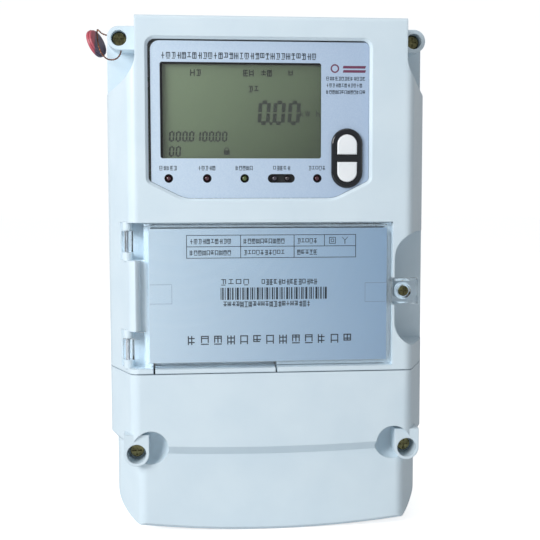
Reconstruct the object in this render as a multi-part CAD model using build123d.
"""Three-phase prepaid electricity meter, built as the pieces it comes apart into.

Frame: +Z up, +X to the right as read from the front, the front faces -Y. The origin is the
centre of the back face, which lies on the wall at y = 0. Sizes are in millimetres.
"Depth" is always the distance out from the wall, so a point at depth d has y = -d.
"""

import os
from math import cos, radians, sin, tan

from build123d import *

# ---------------------------------------------------------------- case, overall
HEIGHT = 265.0
WIDTH = 170.0
DEPTH = 75.0
TOP = HEIGHT / 2
BOTTOM = -HEIGHT / 2
HALF = WIDTH / 2

WALL = 2.5
BASE_DEPTH = 26.0
RIM_GAP = 0.3
TOP_CORNER_RADIUS = 11.0
BOTTOM_CORNER_RADIUS = 14.0
BOTTOM_BOW = 6.0
EDGE_RADIUS = 0.6
PAST = 1.0  # how far a cut, or the root of a joined piece, runs past the surface it meets
AMPLE = 12.0  # spare stock outside the case that is cut away later
FIT = 0.1  # close clearance between mating pieces
PIN_FIT = 0.05  # clearance of a pressed or turned pin
TOP_EDGE_RADIUS = 2.0  # rounding of the top front edge
FOOT_BEVEL = 1.6  # bevel along the bowed foot of the terminal cover

# plan shape of the case sides: straight, then sloping in to the front ridge
SIDE_BREAK_DEPTH = 44.0
SIDE_SLOPE_INSET = 13.0
SIDE_BREAK_RADIUS = 20.0
FRONT_RIDGE_RADIUS = 6.0

# terminal cover: upper band flush with the case, lower part stepped in
TERMINAL_COVER_HEIGHT = 84.6
SEAM = BOTTOM + TERMINAL_COVER_HEIGHT
SEAM_GAP = 0.4
STEP_Z = BOTTOM + 45.7
STEP_ARC_RADIUS = 1170.0
STEP_ARC_SPARE = 5.0
LOWER_PART_DROP = 10.0
COVER_HOLLOW_RISE = 1.0
COVER_HOLLOW_LAP = 2.0
STEP_CHAMFER = 4.8
STEP_SIDE_INSET = 3.3
LOWER_HALF = HALF - STEP_SIDE_INSET

# ---------------------------------------------------------------- seal-screw lugs
TOP_LUG_INSET = 7.0
TOP_LUG_DROP = 8.0
TOP_LUG_RADIUS = 6.1
TOP_LUG_FACE = 50.0
TOP_LUG_BORE = 4.05
NOTCH_EDGE_INSET = 16.0
NOTCH_FLOOR = 36.0
NOTCH_BOTTOM_DROP = 19.3
NOTCH_SWEEP_RADIUS = 15.0
NOTCH_SWEEP_ANGLE = 62.0
TOP_LUG_SINK = 5.0
TOP_POST_BLIND = 3.0
LOW_POST_BLIND = 9.0
LOW_POST_RISE = 18.0

LOW_LUG_INSET = 14.5
LOW_LUG_Z = BOTTOM + 43.0
LOW_LUG_RADIUS = 6.4
LOW_LUG_FACE = 73.6
LOW_LUG_BORE = 5.0
LOW_LUG_LENGTH = 18.0
LOW_LUG_SINK = 12.0
LOW_LUG_ROOT = 10.0
SCOOP_BALL_RADIUS = 9.5
SCOOP_SIDE_SHIFT = 1.0
SCOOP_FORWARD = 1.5
SCOOP_RISE = 3.0
SCOOP_WALL = 2.0
SEAL_SCREW_SHANK = 2.0
SEAL_HEAD_RADIUS = 3.6
SEAL_HEAD_HEIGHT = 3.2
DRIVE_WIDTH = 1.0
DRIVE_DEPTH = 1.2
DRIVE_REACH = 0.72  # reach of the driver recess, as a share of the head radius
SCREW_EDGE = 0.4
SCREW_CLEARANCE = 0.35
POST_WALL = 2.0

# ---------------------------------------------------------------- display window
WINDOW_LEFT = -HALF + 20.9
WINDOW_RIGHT = HALF - 34.1
WINDOW_TOP = TOP - 10.3
WINDOW_HEIGHT = 82.2
WINDOW_BOTTOM = WINDOW_TOP - WINDOW_HEIGHT
WINDOW_BEVEL = 1.4
WINDOW_TOP_RADIUS = 5.0
WINDOW_SWEEP_X = 19.0
WINDOW_SWEEP_Z = 9.5
WINDOW_SWEEP_RADIUS = 16.0
WINDOW_SHOULDER_RADIUS = 4.0
PANE_THICKNESS = 2.0
PANE_LAP = 3.0
LABEL_THICKNESS = 0.3
LABEL_GAP_LEFT = 1.3
LABEL_GAP_TOP = 0.7
LABEL_GAP = 0.15
FILM_CORNER = 4.5
FILM_SQUARED = 20.0  # reach of the film's straight lower and right-hand parts

LCD_LEFT = WINDOW_LEFT + 7.4
LCD_WIDTH = 81.5
LCD_TOP = WINDOW_TOP - 12.6
LCD_HEIGHT = 48.0
LCD_CORNER = 1.2
LCD_FACE = 69.0
LCD_GLASS = 2.8
LCD_LAP = 3.0
BEZEL_WALL = 2.2
BEZEL_SHOW_LEFT = 1.2
BEZEL_SHOW_TOP = 0.7
BEZEL_HIDDEN = 0.4
BACKLIGHT_INSET = 0.5
BACKLIGHT_THICKNESS = 4.0
LCD_PIN_COUNT = 20
LCD_PIN_PITCH = 3.6
LCD_PIN_SIDE = 0.5
LCD_PIN_HEIGHT = 0.45

LED_Z = WINDOW_BOTTOM + 11.5
LED_POSITIONS = {
    "active_pulse": WINDOW_LEFT + 11.4,
    "reactive_pulse": WINDOW_LEFT + 30.8,
    "relay_state": WINDOW_LEFT + 49.8,
    "alarm": WINDOW_LEFT + 87.0,
}
LED_RADIUS = 1.5
LED_HOLE = 2.2
LED_TIP = 72.2
LED_DOME = 0.85  # rounding of a lamp's tip, as a share of its radius
INFRARED_TIP = DEPTH - WALL - 0.3
INFRARED_X = WINDOW_LEFT + 68.5
INFRARED_SPACING = 6.6
INFRARED_LENGTH = 13.8
SLEEVE_WALL = 0.5
SLEEVE_GAP = 0.08

BUTTON_X = WINDOW_RIGHT - 12.8
BUTTON_Z = WINDOW_BOTTOM + 21.7
BUTTON_FRAME_WIDTH = 16.2
BUTTON_FRAME_HEIGHT = 30.4
BUTTON_OPENING_WIDTH = 10.9
BUTTON_OPENING_HEIGHT = 24.8
BUTTON_DIVIDER = 3.1
BUTTON_FRAME_FACE = 74.4
BUTTON_FRAME_BACK = 66.5
BUTTON_FRAME_NECK = 0.5
BUTTON_FRAME_EDGE = 1.2
BUTTON_GAP = 0.3
BUTTON_FACE = 74.7
BUTTON_CROWN = 0.8
BUTTON_TRAVEL = 1.2
BUTTON_FLANGE = 1.4
BUTTON_FLANGE_LAP = 0.8
BUTTON_STEM = 1.5
SWITCH_HEIGHT = 3.4
SWITCH_HALF = 3.0
PLUNGER_RADIUS = 1.6
PLUNGER_RISE = 1.0

# ---------------------------------------------------------------- hinged door
DOOR_LEFT = -HALF + 18.9
DOOR_RIGHT = HALF - 23.4
DOOR_HEIGHT = 73.5
DOOR_SILL = 3.1
DOOR_BOTTOM = SEAM + DOOR_SILL
DOOR_TOP = DOOR_BOTTOM + DOOR_HEIGHT
DOOR_GAP = 0.5
DOOR_FACE = 74.8
DOOR_PANEL = 1.8
DOOR_RIM_WALL = 2.2
DOOR_BACK = 70.3
DOOR_BEVEL = 1.0
DOOR_LEDGE = 69.6
DOOR_HINGE_SETBACK = 1.2
PLATE_THICKNESS = 0.8
PLATE_GAP = 0.3
PLATE_SETBACK = 1.4

HINGE_X = DOOR_LEFT - 7.9
HINGE_DEPTH = 67.0
HINGE_PIN = 0.9
HINGE_RUNNING = 0.05
BARREL_RADIUS = 2.9
EAR_RADIUS = 2.5
EAR_HEIGHT = 4.0
EAR_ROOT = 0.5
EAR_WEB_HALF = 1.0
HINGE_END_GAP = 0.35
POCKET_HEIGHT = 19.2
POCKET_FLOOR = 60.0
POCKET_WALL = 2.0
ARM_GAP = 0.5
ARM_ROOT = 4.3
ARM_OVERLAP = 0.5
ARM_THICKNESS = 2.2
RISER_THICKNESS = 2.0
STRIP_RADIUS = 4.0
STRIP_GAP = 1.5

TAB_WIDTH = 14.0
TAB_HEIGHT = 13.2
TAB_BOTTOM = DOOR_BOTTOM + 31.4
TAB_BACK = 68.2
TAB_BEVEL = 1.2
TAB_SCREW_X = DOOR_RIGHT + 6.6
TAB_SCREW_Z = TAB_BOTTOM + TAB_HEIGHT / 2
TAB_POCKET_RADIUS = 3.5
TAB_POCKET_FLOOR = 70.4
TAB_HEAD_RADIUS = 2.7
TAB_HEAD_HEIGHT = 2.4
TAB_SHANK = 1.5
TAB_SHANK_DEPTH = 60.5
TAB_BOSS_RADIUS = 4.6
TAB_BOSS_GAP = 0.35
TAB_INSERT_WALL = 0.9
TAB_INSERT_LENGTH = 6.0

GRIP_LEFT = DOOR_RIGHT + 1.5
GRIP_BOTTOM = DOOR_BOTTOM + 9.0
GRIP_HEIGHT = 59.5
GRIP_RADIUS = 13.5
GRIP_FLOOR = 42.0

# ---------------------------------------------------------------- well behind the door
WELL_MARGIN = 3.6
WELL_END_MARGIN = 2.0
WELL_WALL = 2.0
WELL_FLOOR = 49.0
MODULE_LEFT = DOOR_LEFT + 5.6
MODULE_WIDTH = 61.7
MODULE_HEIGHT = 66.4
MODULE_FACE = 68.0
MODULE_CLEARANCE = 0.3
MODULE_WALL = 1.6
MODULE_EDGE = 0.8
MODULE_WEB = 3.0
MODULE_SLOT_RISE = 3.0
MODULE_BOARD_RISE = 5.0
MODULE_LIP_BACK = 60.0
MODULE_LIP_THICKNESS = 2.4
MODULE_SLOT_LEFT = 0.9
MODULE_SLOT_RIGHT = 0.8
MODULE_LATCH_WIDTH = 12.0
MODULE_LATCH_RISE = 1.2
MODULE_LATCH_BACK = 8.0
MODULE_LATCH_FRONT = 5.0
HEADER_RISE = 9.0
HEADER_HALF_WIDTH = 8.5
HEADER_HALF_HEIGHT = 2.7
HEADER_GAP = 0.5
HEADER_PINS = 6
HEADER_PITCH = 2.54
HEADER_PIN_HALF = 0.3
HEADER_PIN_REACH = 4.5

BATTERY_RADIUS = 7.25
BATTERY_LENGTH = 25.0
BATTERY_X = DOOR_RIGHT - 18.0
BATTERY_Z = DOOR_BOTTOM + 48.0
BATTERY_CAP_RADIUS = 2.2
BATTERY_CAP = 0.8
BATTERY_EDGE = 0.6
HOLDER_WALL = 1.6
HOLDER_HEIGHT = 9.0
HOLDER_FIT = 0.2
CONTACT_THICKNESS = 0.4
CONTACT_GAP = 0.3
CONTACT_HALF = 3.0
CONTACT_BACK = 5.0
CONTACT_FRONT = 4.0

PROGRAM_X = DOOR_RIGHT - 38.0
PROGRAM_Z = DOOR_BOTTOM + 18.0
PROGRAM_HEAD_RADIUS = 3.8
PROGRAM_STEM = 2.0
PROGRAM_CLEARANCE = 0.3
PROGRAM_HEAD_DEPTH = 51.4
PROGRAM_HEAD_HEIGHT = 3.6
PROGRAM_EDGE = 0.8
PROGRAM_TRAVEL = 1.0
PROGRAM_STEM_DEPTH = 39.6

# ---------------------------------------------------------------- circuit boards
BOARD_THICKNESS = 1.6
BOARD_CORNER = 2.0
MAIN_BOARD_DEPTH = 30.0
COMPONENT_BASE = MAIN_BOARD_DEPTH + BOARD_THICKNESS
MAIN_BOARD_INSET = 15.0
MAIN_BOARD_TOP_GAP = 26.0
MAIN_BOARD_BOTTOM_GAP = 10.0
BOARD_POST_INSET = 4.0
BOARD_POST_RADIUS = 3.4
BOARD_SCREW_SHANK = 1.4
BOARD_SCREW_HEAD = 2.8
BOARD_SCREW_HEAD_HEIGHT = 2.0
BOARD_SCREW_LENGTH = 9.0
DISPLAY_BOARD_DEPTH = 57.0
DISPLAY_BOARD_FACE = DISPLAY_BOARD_DEPTH + BOARD_THICKNESS
DISPLAY_BOARD_MARGIN = 1.5
DISPLAY_BOARD_LOW = 1.0
DISPLAY_BOARD_HIGH = 2.0
SOCKET_LENGTH = 30.0
SOCKET_RISE = 6.0
SOCKET_WIDTH = 5.0

UPPER_ROW_DROP = 28.0
LOWER_ROW_RISE = 30.0
CAPACITOR_RADIUS = 6.3
CAPACITOR_EDGE = 0.8
CAPACITOR_COUNT = 3
CAPACITOR_HEIGHT = 21.0
CAPACITOR_PITCH = 15.0
TRANSFORMER_WIDTH = 30.0
TRANSFORMER_HEIGHT = 26.0
TRANSFORMER_STACK = 14.0
TRANSFORMER_SIDE_GAP = 20.0
TRANSFORMER_DROP = 2.0
TRANSFORMER_YOKE = 5.0
TRANSFORMER_LIMB = 4.0
TRANSFORMER_WINDOW = 10.0
BOBBIN_GAP = 0.2
BOBBIN_CORNER = 2.0
BOBBIN_DEPTH = 20.0
VARISTOR_RADIUS = 6.0
VARISTOR_THICKNESS = 4.0
VARISTOR_PITCH = 14.0
VARISTOR_COUNT = 3
VARISTOR_SHIFT = 2.0
VARISTOR_RISE = 2.0
VARISTOR_EDGE = 1.0
VARISTOR_LEG_HALF = 0.3
VARISTOR_LEG_SPREAD = 2.5
VARISTOR_LEG_LENGTH = 5.0
RELAY_SIZE = (19.0, 15.5, 15.0)
RELAY_SHIFT = 2.0
RELAY_CORNER = 1.0
BUZZER_RADIUS = 6.0
BUZZER_HEIGHT = 8.5
BUZZER_PORT = 1.0
BUZZER_PORT_DEPTH = 2.0
BUZZER_SHIFT = 12.0
CHIP_HEIGHT = 1.6
CHIPS = [(-24.0, 14.0, 14.0), (8.0, 10.0, 10.0), (30.0, 6.0, 5.0)]  # x, width and height of each

# ---------------------------------------------------------------- terminals
BLOCK_HALF = 63.0
BLOCK_FRONT = 40.0
BLOCK_HEIGHT = 60.0
BLOCK_TOP = SEAM + 4.0
BLOCK_BOTTOM = BLOCK_TOP - BLOCK_HEIGHT
BLOCK_CLEARANCE = 0.6
BLOCK_EDGE = 1.0
TERMINAL_COUNT = 10
LOOP_TERMINALS = (0, 3, 6)  # current in; the way out is two places on
LEAD_TERMINALS = (1, 4, 7, 9)  # three voltages and the neutral
TERMINAL_PITCH = 11.6
TERMINAL_WIDTH = 8.6
TERMINAL_BACK = 7.0
TERMINAL_FRONT = 23.0
TERMINAL_DEPTH = 14.0
TERMINAL_TOP = BLOCK_TOP - 20.0
TERMINAL_LENGTH = 32.0
TERMINAL_BORE = 3.0
TERMINAL_BORE_LENGTH = 26.0
TERMINAL_FIT = 0.1
TERMINAL_SCREW_DROPS = (12.0, 23.0)
TERMINAL_SCREW_SHANK = 1.9
TERMINAL_SCREW_HEAD = 2.6
TERMINAL_SCREW_HEAD_HEIGHT = 3.5
TERMINAL_SCREW_ACCESS = 3.0
TERMINAL_SCREW_STAND_OFF = 0.8
BORE_CLEAR = 0.3
RIB_WIDTH = 1.6

BLOCK_SCREW_INSET = 3.5
BLOCK_SCREW_Z = BLOCK_TOP - 34.0
BLOCK_SCREW_SHANK = 1.5
BLOCK_SCREW_HEAD = 2.7
BLOCK_SCREW_HEAD_HEIGHT = 2.5
BLOCK_SCREW_SINK = 4.0
BLOCK_BOSS_RADIUS = 3.4
BLOCK_BOSS_DEPTH = 6.4
BLOCK_BOSS_GAP = 0.2
BLOCK_SCREW_GAP = 0.2
BLOCK_SCREW_BLIND = 1.5
BLOCK_SCREW_TIP = 2.0

CONDUCTOR_RADIUS = 1.5
CONDUCTOR_TOP = BLOCK_TOP + 30.0
CONDUCTOR_GAP = 0.15
RING_OUTER = 8.5
RING_HEIGHT = 12.0
RING_Z = BLOCK_TOP + 6.0
RING_GAP = 0.4
RING_EDGE = 1.2
RING_SEAT_HALF = 5.0
LEAD_RADIUS = 0.8
LEAD_TOP = BLOCK_TOP + 12.0
LEAD_GAP = 0.2
LEAD_SOLDER_RISE = 0.8

AUX_COUNT = 12
AUX_PITCH = 8.6
AUX_HALF = 54.0
AUX_TOP = BLOCK_TOP - 6.0
AUX_HEIGHT = 17.0
AUX_DEPTH = 12.0
AUX_LOW = AUX_TOP - AUX_HEIGHT
AUX_EDGE = 0.8
AUX_INSERT_SINK = 2.0
AUX_INSERT_BACK = BLOCK_FRONT + 2.0
AUX_INSERT_WIDTH = 5.0
AUX_INSERT_DEPTH = 6.0
AUX_INSERT_LENGTH = 10.0
AUX_BORE = 1.3
AUX_BORE_DEPTH = 2.2
AUX_BORE_BLIND = 1.0
AUX_SCREW_RISE = 6.0
AUX_SCREW_TIP_GAP = 0.2
AUX_SCREW_STAND_OFF = 0.5
AUX_SHAFT_BACK = 4.0
AUX_SCREW_SHANK = 1.2
AUX_SCREW_HEAD = 1.9
AUX_SCREW_HEAD_HEIGHT = 1.6
AUX_SCREW_ACCESS = 2.2

CABLE_ENTRY_HALF = 60.0
CABLE_ENTRY_BACK = 4.0
CABLE_ENTRY_SILL = 4.0

# ---------------------------------------------------------------- wall fixings
LOWER_HOLE_SPACING = 150.0
LOWER_HOLE_Z = BOTTOM + 14.5
LOWER_HOLE_RADIUS = 2.6
LOWER_BOSS_WALL = 1.9
LOWER_BOSS_DEPTH = 7.0
HANGER_WIDTH = 28.0
HANGER_HEIGHT = 24.0
HANGER_THICKNESS = 1.5
HANGER_TOP_GAP = 5.0
HANGER_KEYHOLE_RADIUS = 4.5
HANGER_SLOT_RADIUS = 2.4
HANGER_SLOT_RISE = 7.0
HANGER_HEAD_ROOM = 7.0
HANGER_CORNER = 2.0
HANGER_FIT = 0.2
HANGER_ROOM_SIDE = 4.5
HANGER_ROOM_END = 1.0
HANGER_ROOM_CORNER = 3.0
RIVET_RADIUS = 1.2
RIVET_HEAD = 2.2
RIVET_HEAD_HEIGHT = 0.8
RIVET_INSET = 3.5
RIVET_GRIP = 4.0

GASKET_WIDTH = 1.1
GASKET_DEPTH = 0.9
GASKET_INSET = 0.7

# ---------------------------------------------------------------- wire seal
SEAL_WIRE_DIAMETER = 0.9
SEAL_DISC_RADIUS = 7.6
SEAL_BODY_THICKNESS = 1.6
SEAL_CAP_THICKNESS = 1.2
SEAL_DISC_CENTRE = (-HALF - 4.6, -33.0, TOP - 8.0)
SEAL_DISC_NORMAL = (0.84, -0.40, 0.36)
SEAL_HOLE_RADIUS = 0.8
SEAL_HOLE_SHIFT = 1.0
SEAL_UPRIGHT_HOLE = 6.0
SEAL_SIDE_HOLE = 8.0
SEAL_CAP_INSET = 0.4
SEAL_BODY_EDGE = 0.6
SEAL_CAP_EDGE = 0.5
SEAL_BEND_SHARE = 0.45  # share of the shorter run that a bend takes up
SEAL_WIRE_ROUTE = [
    (-HALF + 8.0, -46.0, TOP - 14.0),
    (-HALF + 7.4, -46.3, TOP - 17.0),
    (-HALF + 4.2, -46.4, TOP - 19.0),
    (-HALF + 0.2, -45.2, TOP - 18.4),
    (-HALF - 2.9, -41.5, TOP - 14.4),
    (-HALF - 4.3, -37.2, TOP - 10.0),
    (-HALF - 5.1, -35.0, TOP - 6.2),
    (-HALF - 5.1, -37.0, TOP - 2.4),
    (-HALF - 4.2, -41.0, TOP - 2.4),
    (-HALF - 1.6, -44.0, TOP - 5.6),
    (-HALF + 2.2, -44.4, TOP - 6.2),
]
WIRING_LABEL_WIDTH = 96.0
WIRING_LABEL_HEIGHT = 30.0
WIRING_LABEL_THICKNESS = 0.2
WIRING_LABEL_RISE = 3.0
WIRING_LABEL_CORNER = 1.5


# ================================================================ small helpers
def front_plane(depth):
    """An upright plane at a depth out from the wall; its normal points to the front."""
    return Plane.XZ.offset(depth)


def slab(shape, depth_from, depth_to):
    """Extrude a front-view outline between two depths."""
    return extrude(front_plane(depth_from) * shape, amount=depth_to - depth_from)


def block(x_from, x_to, z_from, z_to, depth_from, depth_to):
    """A plain block given by its edges."""
    size = (x_to - x_from, depth_to - depth_from, z_to - z_from)
    centre = Pos((x_from + x_to) / 2, -(depth_from + depth_to) / 2, (z_from + z_to) / 2)
    return centre * Box(*size)


def stud(x, z, radius, depth_from, depth_to):
    """A cylinder whose axis runs front to back."""
    return slab(Pos(x, z) * Circle(radius), depth_from, depth_to)


def rod(x, depth, radius, z_from, z_to):
    """A cylinder whose axis is upright."""
    return Pos(x, -depth, (z_from + z_to) / 2) * Cylinder(radius, z_to - z_from)


def rounded(width, height, radius):
    """A front-view rectangle with rounded corners."""
    return RectangleRounded(width, height, radius)


def stadium(width, height):
    """A front-view slot shape, upright when it is taller than it is wide."""
    return SlotOverall(max(width, height), min(width, height), rotation=90 if height > width else 0)


def joined(pieces):
    """Fuse a list of solids."""
    result = pieces[0]
    for piece in pieces[1:]:
        result = result + piece
    return result


def both_sides(make):
    """Call a maker for the left (-1) and the right (+1) side and keep both results."""
    return [make(side) for side in (-1, 1)]


def edges_at_depth(solid, depth, tolerance=0.01):
    """Edges that lie wholly on the upright plane at this depth."""
    return solid.edges().filter_by(
        lambda edge: all(abs(vertex.Y + depth) < tolerance for vertex in edge.vertices())
        and abs(edge.center().Y + depth) < tolerance
    )


def cross_recess(x, z, face, arm):
    """The cross-shaped driver recess cut in a screw head."""
    half = DRIVE_WIDTH / 2
    across = block(x - arm, x + arm, z - half, z + half, face - DRIVE_DEPTH, face + PAST)
    upright = block(x - half, x + half, z - arm, z + arm, face - DRIVE_DEPTH, face + PAST)
    return across + upright


def screw(x, z, shank, head, seat, head_height, tip):
    """A cheese-head screw seen from the front, its head seated at a depth."""
    top = seat + head_height
    cap = stud(x, z, head, seat, top)
    cap = fillet(edges_at_depth(cap, top), SCREW_EDGE)
    return cap + stud(x, z, shank, tip, seat) - cross_recess(x, z, top, head * DRIVE_REACH)


# ================================================================ case outlines
def case_plan(half, front, inset=0.0):
    """Plan view of the case from above: straight sides, sloping shoulders, flat front."""
    corners = [
        (-half, -BASE_DEPTH - RIM_GAP),
        (-half, -SIDE_BREAK_DEPTH),
        (-half + SIDE_SLOPE_INSET, -front),
        (half - SIDE_SLOPE_INSET, -front),
        (half, -SIDE_BREAK_DEPTH),
        (half, -BASE_DEPTH - RIM_GAP),
    ]
    face = make_face(Polyline(*corners, close=True))
    breaks = face.vertices().filter_by(lambda v: abs(v.Y + SIDE_BREAK_DEPTH) < 0.01)
    face = fillet(breaks, SIDE_BREAK_RADIUS)
    ridges = face.vertices().filter_by(lambda v: abs(v.Y + front) < 0.01)
    face = fillet(ridges, FRONT_RIDGE_RADIUS)
    if inset:
        face = offset(face, -inset, kind=Kind.INTERSECTION)
        strip = Pos(0, -BASE_DEPTH - RIM_GAP - inset) * Rectangle(2 * (half - inset), 2 * inset + PAST)
        face = face + strip
    return face


def prism(plan, z_from, z_to):
    """Extrude a plan view between two heights."""
    return extrude(Plane.XY.offset(z_from) * plan, amount=z_to - z_from)


def case_front_view(inset=0.0):
    """Front view of the whole case: bowed foot, stepped sides, rounded corners."""
    step_low = STEP_Z - STEP_CHAMFER
    foot = BOTTOM + BOTTOM_BOW
    outline = [
        ThreePointArc((-LOWER_HALF, foot), (0, BOTTOM), (LOWER_HALF, foot)),
        Polyline(
            (LOWER_HALF, foot),
            (LOWER_HALF, step_low + STEP_SIDE_INSET / 2),
            (HALF, STEP_Z + STEP_SIDE_INSET),
            (HALF, TOP),
            (-HALF, TOP),
            (-HALF, STEP_Z + STEP_SIDE_INSET),
            (-LOWER_HALF, step_low + STEP_SIDE_INSET / 2),
            (-LOWER_HALF, foot),
        ),
    ]
    face = make_face(outline)
    face = fillet(face.vertices().filter_by(lambda v: abs(v.Y - foot) < 0.01), BOTTOM_CORNER_RADIUS)
    face = fillet(face.vertices().filter_by(lambda v: abs(v.Y - TOP) < 0.01), TOP_CORNER_RADIUS)
    if inset:
        face = offset(face, -inset, kind=Kind.INTERSECTION)
    return face


def eased_front(z_from, z_to, low_radius, high_radius):
    """Full-width bar whose side view has the case's rounded front edges."""
    corners = [(0, z_from), (-DEPTH, z_from), (-DEPTH, z_to), (0, z_to)]
    side_view = make_face(Polyline(*corners, close=True))
    low = side_view.vertices().filter_by(lambda v: v.X < -PAST and v.Y < (z_from + z_to) / 2)
    side_view = fillet(low, low_radius)
    high = side_view.vertices().filter_by(lambda v: v.X < -PAST and v.Y > z_to - 0.01)
    side_view = fillet(high, high_radius)
    return extrude(Plane.YZ.offset(-HALF - PAST) * side_view, amount=WIDTH + 2 * PAST)


def top_lug(side):
    """Centre of an upper seal-screw lug."""
    return side * (HALF - TOP_LUG_INSET), TOP - TOP_LUG_DROP


def low_lug(side):
    """Centre of a lower seal-screw lug."""
    return side * (HALF - LOW_LUG_INSET), LOW_LUG_Z


def board_post(index):
    """Centre of one of the four main-board posts."""
    side = (-1, 1)[index % 2]
    x = side * (HALF - MAIN_BOARD_INSET - BOARD_POST_INSET)
    low = SEAM + MAIN_BOARD_BOTTOM_GAP + BOARD_POST_INSET
    high = TOP - MAIN_BOARD_TOP_GAP - BOARD_POST_INSET
    return x, (low, high)[index // 2]


def terminal_x(index):
    """Centre line of one of the row of main terminals."""
    return (index - (TERMINAL_COUNT - 1) / 2) * TERMINAL_PITCH


def aux_x(index):
    """Centre line of one of the row of small auxiliary terminals."""
    return (index - (AUX_COUNT - 1) / 2) * AUX_PITCH


def block_screw_x(side):
    """Centre line of a terminal-block fixing screw."""
    return side * (BLOCK_HALF - BLOCK_SCREW_INSET)


# ================================================================ base and wall fixings
def make_base_shell():
    """Back tray: floor, side walls, posts, ribs and the wall-fixing holes."""
    shell = slab(case_front_view(), 0, BASE_DEPTH) - slab(case_front_view(WALL), WALL, BASE_DEPTH + PAST)
    shell = fillet(edges_at_depth(shell, 0), EDGE_RADIUS)
    posts = []
    radius = SEAL_SCREW_SHANK + SCREW_CLEARANCE + POST_WALL
    for side in (-1, 1):
        x, z = top_lug(side)
        posts.append(stud(x, z, radius, WALL, BASE_DEPTH))
        x, z = low_lug(side)
        posts.append(stud(x, z, radius, WALL, BASE_DEPTH + LOW_POST_RISE))
        posts.append(stud(block_screw_x(side), BLOCK_SCREW_Z, BLOCK_BOSS_RADIUS, WALL, BLOCK_BOSS_DEPTH))
        hole_x = side * LOWER_HOLE_SPACING / 2
        boss = LOWER_HOLE_RADIUS + LOWER_BOSS_WALL
        posts.append(stud(hole_x, LOWER_HOLE_Z, boss, WALL, LOWER_BOSS_DEPTH))
        inner = sorted((side * (BLOCK_HALF + BLOCK_CLEARANCE), side * (HALF - WALL)))
        posts.append(block(inner[0], inner[1], SEAM, SEAM + RIB_WIDTH, WALL, BASE_DEPTH))
    for index in range(4):
        x, z = board_post(index)
        posts.append(stud(x, z, BOARD_POST_RADIUS, WALL, MAIN_BOARD_DEPTH))
    for index in LOOP_TERMINALS:
        x = terminal_x(index)
        seat = TERMINAL_DEPTH - RING_OUTER
        posts.append(block(x - RING_SEAT_HALF, x + RING_SEAT_HALF, RING_Z, RING_Z + RING_HEIGHT, WALL, seat))
    cup = HANGER_WIDTH / 2 + WALL
    cup_top = TOP - HANGER_TOP_GAP + WALL
    cup_bottom = TOP - HANGER_TOP_GAP - HANGER_HEIGHT - WALL
    posts.append(block(-cup, cup, cup_bottom, cup_top, WALL, HANGER_HEAD_ROOM + WALL))
    shell = shell + joined(posts)
    shell = shell - joined(base_cuts())
    return shell & slab(case_front_view(), 0, DEPTH)


def hanger_centre():
    """Centre height of the steel hanging plate."""
    return TOP - HANGER_TOP_GAP - HANGER_HEIGHT / 2


def base_cuts():
    """Everything that is drilled or cut out of the base shell."""
    cuts = []
    shank = SEAL_SCREW_SHANK + SCREW_CLEARANCE
    for side in (-1, 1):
        x, z = top_lug(side)
        cuts.append(stud(x, z, shank, WALL + TOP_POST_BLIND, BASE_DEPTH + PAST))
        x, z = low_lug(side)
        cuts.append(stud(x, z, shank, WALL + LOW_POST_BLIND, BASE_DEPTH + LOW_POST_RISE + PAST))
        cuts.append(stud(block_screw_x(side), BLOCK_SCREW_Z, BLOCK_SCREW_SHANK + FIT, BLOCK_SCREW_BLIND,
                         BLOCK_BOSS_DEPTH + PAST))
        cuts.append(stud(side * LOWER_HOLE_SPACING / 2, LOWER_HOLE_Z, LOWER_HOLE_RADIUS, -PAST,
                         LOWER_BOSS_DEPTH + PAST))
    for index in range(4):
        x, z = board_post(index)
        tip = COMPONENT_BASE - BOARD_SCREW_LENGTH - PAST
        cuts.append(stud(x, z, BOARD_SCREW_SHANK + FIT, tip, MAIN_BOARD_DEPTH + PAST))
    cuts.append(block(-CABLE_ENTRY_HALF, CABLE_ENTRY_HALF, BOTTOM - PAST,
                      BOTTOM + BOTTOM_BOW + WALL + CABLE_ENTRY_SILL, CABLE_ENTRY_BACK, BASE_DEPTH + PAST))
    plate = Pos(0, hanger_centre()) * rounded(HANGER_WIDTH + 2 * HANGER_FIT, HANGER_HEIGHT + 2 * HANGER_FIT,
                                              HANGER_CORNER + HANGER_FIT)
    cuts.append(slab(plate, -PAST, HANGER_THICKNESS))
    room = Pos(0, hanger_centre()) * rounded(HANGER_WIDTH - 2 * HANGER_ROOM_SIDE,
                                             HANGER_HEIGHT - 2 * HANGER_ROOM_END, HANGER_ROOM_CORNER)
    cuts.append(slab(room, 0, HANGER_HEAD_ROOM))
    for side in (-1, 1):
        x = side * (HANGER_WIDTH / 2 - RIVET_INSET)
        cuts.append(stud(x, hanger_centre(), RIVET_RADIUS + PIN_FIT, -PAST,
                         HANGER_THICKNESS + RIVET_GRIP + HANGER_FIT))
    groove = gasket_ring(GASKET_INSET, GASKET_WIDTH)
    cuts.append(slab(groove, BASE_DEPTH - GASKET_DEPTH, BASE_DEPTH + PAST))
    return cuts


def gasket_ring(inset, width):
    """The U-shaped run of the sealing strip, down both sides and over the top."""
    ring = case_front_view(inset) - case_front_view(inset + width)
    keep = Pos(0, (SEAM + TOP + AMPLE) / 2) * Rectangle(WIDTH + 2 * AMPLE, TOP + AMPLE - SEAM)
    return ring & keep


def make_gasket():
    """Foam sealing strip that fills the groove in the base rim."""
    return slab(gasket_ring(GASKET_INSET, GASKET_WIDTH), BASE_DEPTH - GASKET_DEPTH, BASE_DEPTH)


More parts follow.
